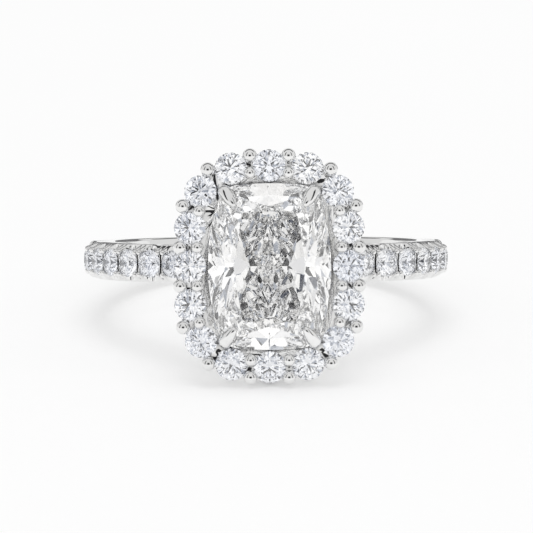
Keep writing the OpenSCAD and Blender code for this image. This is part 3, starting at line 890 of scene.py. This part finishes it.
class RING_OT_claws(Operator):
    """Draws the four claws out of balls, with the wires that carry them"""
    bl_idname = "ring.claws"
    bl_label = "Claws"

    def execute(self, context):
        head = head_sizes()
        shoulder = claw_shoulder()
        tip = start(bpy.ops.mesh.primitive_uv_sphere_add, segments=40, ring_count=24, radius=head.claw)
        stretch = head.claw_length / head.claw
        pick(tip, lambda co: co.z > OFF_PLANE)
        bpy.ops.transform.resize(value=(1.0, 1.0, stretch), center_override=(0.0, 0.0, 0.0))
        rings = sorted({round(v.co.z, 8) for v in tip.data.vertices if v.co.z > OFF_PLANE})
        for height in rings[:-1]:
            run = height / head.claw_length
            slimmer = (1 - run * CLAW_TAPER) / math.sqrt(1 - run * run)
            pick(tip, lambda co, at=height: abs(co.z - at) < OFF_PLANE / 2)
            bpy.ops.transform.resize(value=(slimmer, slimmer, 1.0), center_override=(0.0, 0.0, height))
        bpy.ops.object.mode_set(mode="OBJECT")
        inward = head.claw_aim + math.pi
        flat = math.cos(head.claw_slope)
        way = Vector((math.cos(inward) * flat, math.sin(inward) * flat, math.sin(head.claw_slope)))
        settle(tip, aim(shoulder, shoulder + way))
        knee = Vector((shoulder.x, shoulder.y, head.centre_height - head.claw_knee))
        foot = Vector((shoulder.x * head.foot_share, shoulder.y * head.foot_share,
                       band_radius() - head.foot_sink))
        upper = capsule(head.wire, (shoulder - knee).length, segments=28, rings=16)
        settle(upper, aim(knee, shoulder))
        lower = capsule(head.wire, (knee - foot).length, segments=28, rings=16)
        settle(lower, aim(foot, knee))
        model = join([tip, upper, lower], "claw")
        signs = [(1, 1), (-1, 1), (-1, -1), (1, -1)]
        places = [Matrix.Diagonal((x, y, 1.0, 1.0)) for x, y in signs]
        claws = repeat(model, places, "claws")
        face_outwards(claws)
        settle(claws, station(0))
        clear_centre(claws, meets_itself=True)
        finish_metal(claws)
        return {"FINISHED"}


class RING_OT_gallery(Operator):
    """Makes the gallery rail under the centre stone"""
    bl_idname = "ring.gallery"
    bl_label = "Gallery rail"

    def execute(self, context):
        head = head_sizes()
        half_x, half_y = head.rail_half_x, head.rail_half_y
        low = band_radius() + head.rail_rise - head.rail_height / 2
        high = low + head.rail_height
        rail = rounded_plate("gallery_rail", half_x, half_y, 2 * head.rail_width, low, high, segments=10)
        hole = rounded_plate("rail_hole", half_x - head.rail_width, half_y - head.rail_width,
                             head.rail_width, low - OVERSHOOT, high + OVERSHOOT, segments=10)
        carve(rail, hole)
        soften(rail, RAIL_EDGE)
        settle(rail, station(0))
        clear_centre(rail)
        finish_metal(rail)
        return {"FINISHED"}


class RING_OT_stones(Operator):
    """Gives the cut stones their clear materials"""
    bl_idname = "ring.stones"
    bl_label = "Stones"

    def execute(self, context):
        look = looks()
        centre = cut_stone("centre_diamond", look.centre_tint)
        small = cut_stone("small_diamond", look.halo_tint)
        for name, node in frame["nodes"].items():
            if name == "setting":
                continue
            node.material_slots[0].material = centre if name == "centre_stone" else small
        return {"FINISHED"}


# How often light may turn inside the stones, and the width of the camera's sensor in millimetres
STONE_BOUNCES = 48
SENSOR_WIDTH = 36.0


class RING_OT_studio(Operator):
    """Sets up the pale tabletop, the soft lights, the dark cards and the camera"""
    bl_idname = "ring.studio"
    bl_label = "Studio"

    def execute(self, context):
        studio = studio_sizes()
        look = looks()
        scene = context.scene
        floor = start(bpy.ops.mesh.primitive_plane_add, size=studio.floor_size)
        floor.name = "tabletop"
        floor.data.materials.append(pale_floor())
        self.camera(scene, studio)
        self.surroundings(scene, studio)
        self.softbox("top_softbox", height=600 * MM, size=500 * MM, power=1.2)
        self.card("camera_card", look.black_card, distance=300 * MM, width=200 * MM, height=160 * MM)
        self.card("ceiling_gap", look.dim_card, distance=400 * MM, width=1000 * MM, height=170 * MM,
                  rise=math.radians(111.0))
        for name, side in (("right_gap", 1), ("left_gap", -1)):
            self.card(name, look.black_card, distance=400 * MM, width=90 * MM, height=700 * MM,
                      aside=side * math.radians(58.0))
        self.card("back_card", look.grey_card, distance=34 * MM, width=80 * MM, height=18 * MM,
                  rise=math.radians(154.0))
        self.card("lens_card", look.black_card, distance=300 * MM, width=22 * MM, height=22 * MM,
                  seen_by="visible_transmission")
        self.halo_card("halo_card", gap=4 * MM, half_x=4.5 * MM, half_y=5.7 * MM, reach=0.055)
        self.tent("panel_tent", radius=450 * MM)
        return {"FINISHED"}

    def direction(self):
        """Direction from the ring to the camera"""
        studio = studio_sizes()
        flat = math.cos(studio.camera_elevation)
        return Vector((math.sin(studio.camera_azimuth) * flat, -math.cos(studio.camera_azimuth) * flat,
                       math.sin(studio.camera_elevation)))

    def camera(self, scene, studio):
        """A long lens at the photograph's angle"""
        back = self.direction()
        data = bpy.data.cameras.new("camera")
        data.sensor_width = SENSOR_WIDTH
        data.lens = studio.camera_distance / studio.frame_width * data.sensor_width
        data.clip_start, data.clip_end = 0.01, 10.0
        camera = bpy.data.objects.new("camera", data)
        camera.location = Vector((0.0, 0.0, studio.camera_target)) + back * studio.camera_distance
        camera.rotation_euler = (-back).to_track_quat("-Z", "Y").to_euler()
        scene.collection.objects.link(camera)
        scene.camera = camera

    def surroundings(self, scene, studio):
        """White surroundings, and colours shown as they are"""
        world = bpy.data.worlds.new("white_surroundings")
        world.use_nodes = True
        background = world.node_tree.nodes["Background"]
        background.inputs["Color"].default_value = (1.0, 1.0, 1.0, 1.0)
        background.inputs["Strength"].default_value = studio.daylight
        scene.world = world
        scene.view_settings.view_transform = "Standard"
        scene.cycles.max_bounces = STONE_BOUNCES
        scene.cycles.transmission_bounces = STONE_BOUNCES
        scene.cycles.glossy_bounces = STONE_BOUNCES
        scene.cycles.diffuse_bounces = 4
        scene.cycles.blur_glossy = 0.0
        scene.cycles.caustics_reflective = True
        scene.cycles.caustics_refractive = True
        scene.cycles.sample_clamp_indirect = 6.0
        scene.cycles.use_denoising = True

    def softbox(self, name, height, size, power):
        """A round softbox straight above the ring, which shines downwards"""
        data = bpy.data.lights.new(name, "AREA")
        data.shape = "DISK"
        data.size = size
        data.energy = power
        light = bpy.data.objects.new(name, data)
        light.location = (0.0, 0.0, height)
        light.visible_glossy = False
        bpy.context.scene.collection.objects.link(light)

    def card(self, name, tone, distance, width, height, rise=0.0, aside=0.0, seen_by="visible_glossy"):
        """A card that faces the ring, at angles above and beside the camera, for one kind of ray alone"""
        back = self.direction()
        side = back.cross(Vector((0.0, 0.0, 1.0))).normalized()
        place = Matrix.Rotation(aside, 3, "Z") @ Matrix.Rotation(rise, 3, side) @ back * distance
        card = start(bpy.ops.mesh.primitive_plane_add, size=1.0)
        card.scale = (width, height, 1.0)
        card.rotation_euler = place.to_track_quat("Z", "Y").to_euler()
        card.location = place
        settle(card)
        card.name = name
        card.data.materials.append(matt_card(name, tone))
        self.show_only(card, seen_by)

    def halo_card(self, name, gap, half_x, half_y, reach):
        """A thin oval ring of card before the halo, which draws dark lines into its small stones"""
        corners = box_corners(frame["nodes"]["centre_stone"])
        middle = sum(corners, Vector()) / len(corners)
        back = self.direction()
        card = start(bpy.ops.mesh.primitive_torus_add, major_segments=64, minor_segments=12,
                     major_radius=1.0, minor_radius=reach)
        card.scale = (half_x, half_y, 0.1 * MM)
        card.rotation_euler = back.to_track_quat("Z", "Y").to_euler()
        card.location = middle + back * gap
        settle(card)
        card.name = name
        card.data.materials.append(matt_card(name, looks().black_card))
        self.show_only(card, "visible_transmission")

    def show_only(self, thing, seen_by):
        """Leaves a thing of the studio to one kind of ray, so that it shades nothing else"""
        for ray in ("visible_camera", "visible_diffuse", "visible_glossy", "visible_transmission",
                    "visible_volume_scatter", "visible_shadow"):
            setattr(thing, ray, ray == seen_by)

    def tent(self, name, radius):
        """A tent of pale and grey panels round the ring, which gives the stones' facets their play"""
        tent = start(bpy.ops.mesh.primitive_ico_sphere_add, subdivisions=4, radius=radius)
        tent.name = name
        tent.data.materials.append(tent_panels())
        self.show_only(tent, "visible_transmission")


class RING_PT_panel(Panel):
    """The ring's pieces in the sidebar of the 3D view"""
    bl_idname = "RING_PT_panel"
    bl_label = "Halo ring"
    bl_space_type = "VIEW_3D"
    bl_region_type = "UI"
    bl_category = "Halo ring"

    def draw(self, context):
        for operator in OPERATORS:
            self.layout.operator(operator.bl_idname)
        for group in SETTINGS:
            box = self.layout.box()
            settings = getattr(context.scene, group)
            for name in settings.__annotations__:
                box.prop(settings, name)


OPERATORS = (RING_OT_band, RING_OT_band_prongs, RING_OT_halo_plate, RING_OT_halo_beads, RING_OT_claws,
             RING_OT_gallery, RING_OT_stones, RING_OT_studio)
SETTINGS = {"ring_band": BandSizes, "ring_head": HeadSizes, "ring_looks": Looks, "ring_studio": StudioSizes}


def register():
    for cls in (*SETTINGS.values(), *OPERATORS, RING_PT_panel):
        bpy.utils.register_class(cls)
    for name, cls in SETTINGS.items():
        setattr(bpy.types.Scene, name, PointerProperty(type=cls))


def unregister():
    for name in SETTINGS:
        delattr(bpy.types.Scene, name)
    for cls in (RING_PT_panel, *reversed(OPERATORS), *reversed(SETTINGS.values())):
        bpy.utils.unregister_class(cls)


def main():
    """Registers the add-on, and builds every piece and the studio"""
    register()
    for operator in OPERATORS:
        group, name = operator.bl_idname.split(".")
        getattr(getattr(bpy.ops, group), name)()


if __name__ == "__main__":
    main()
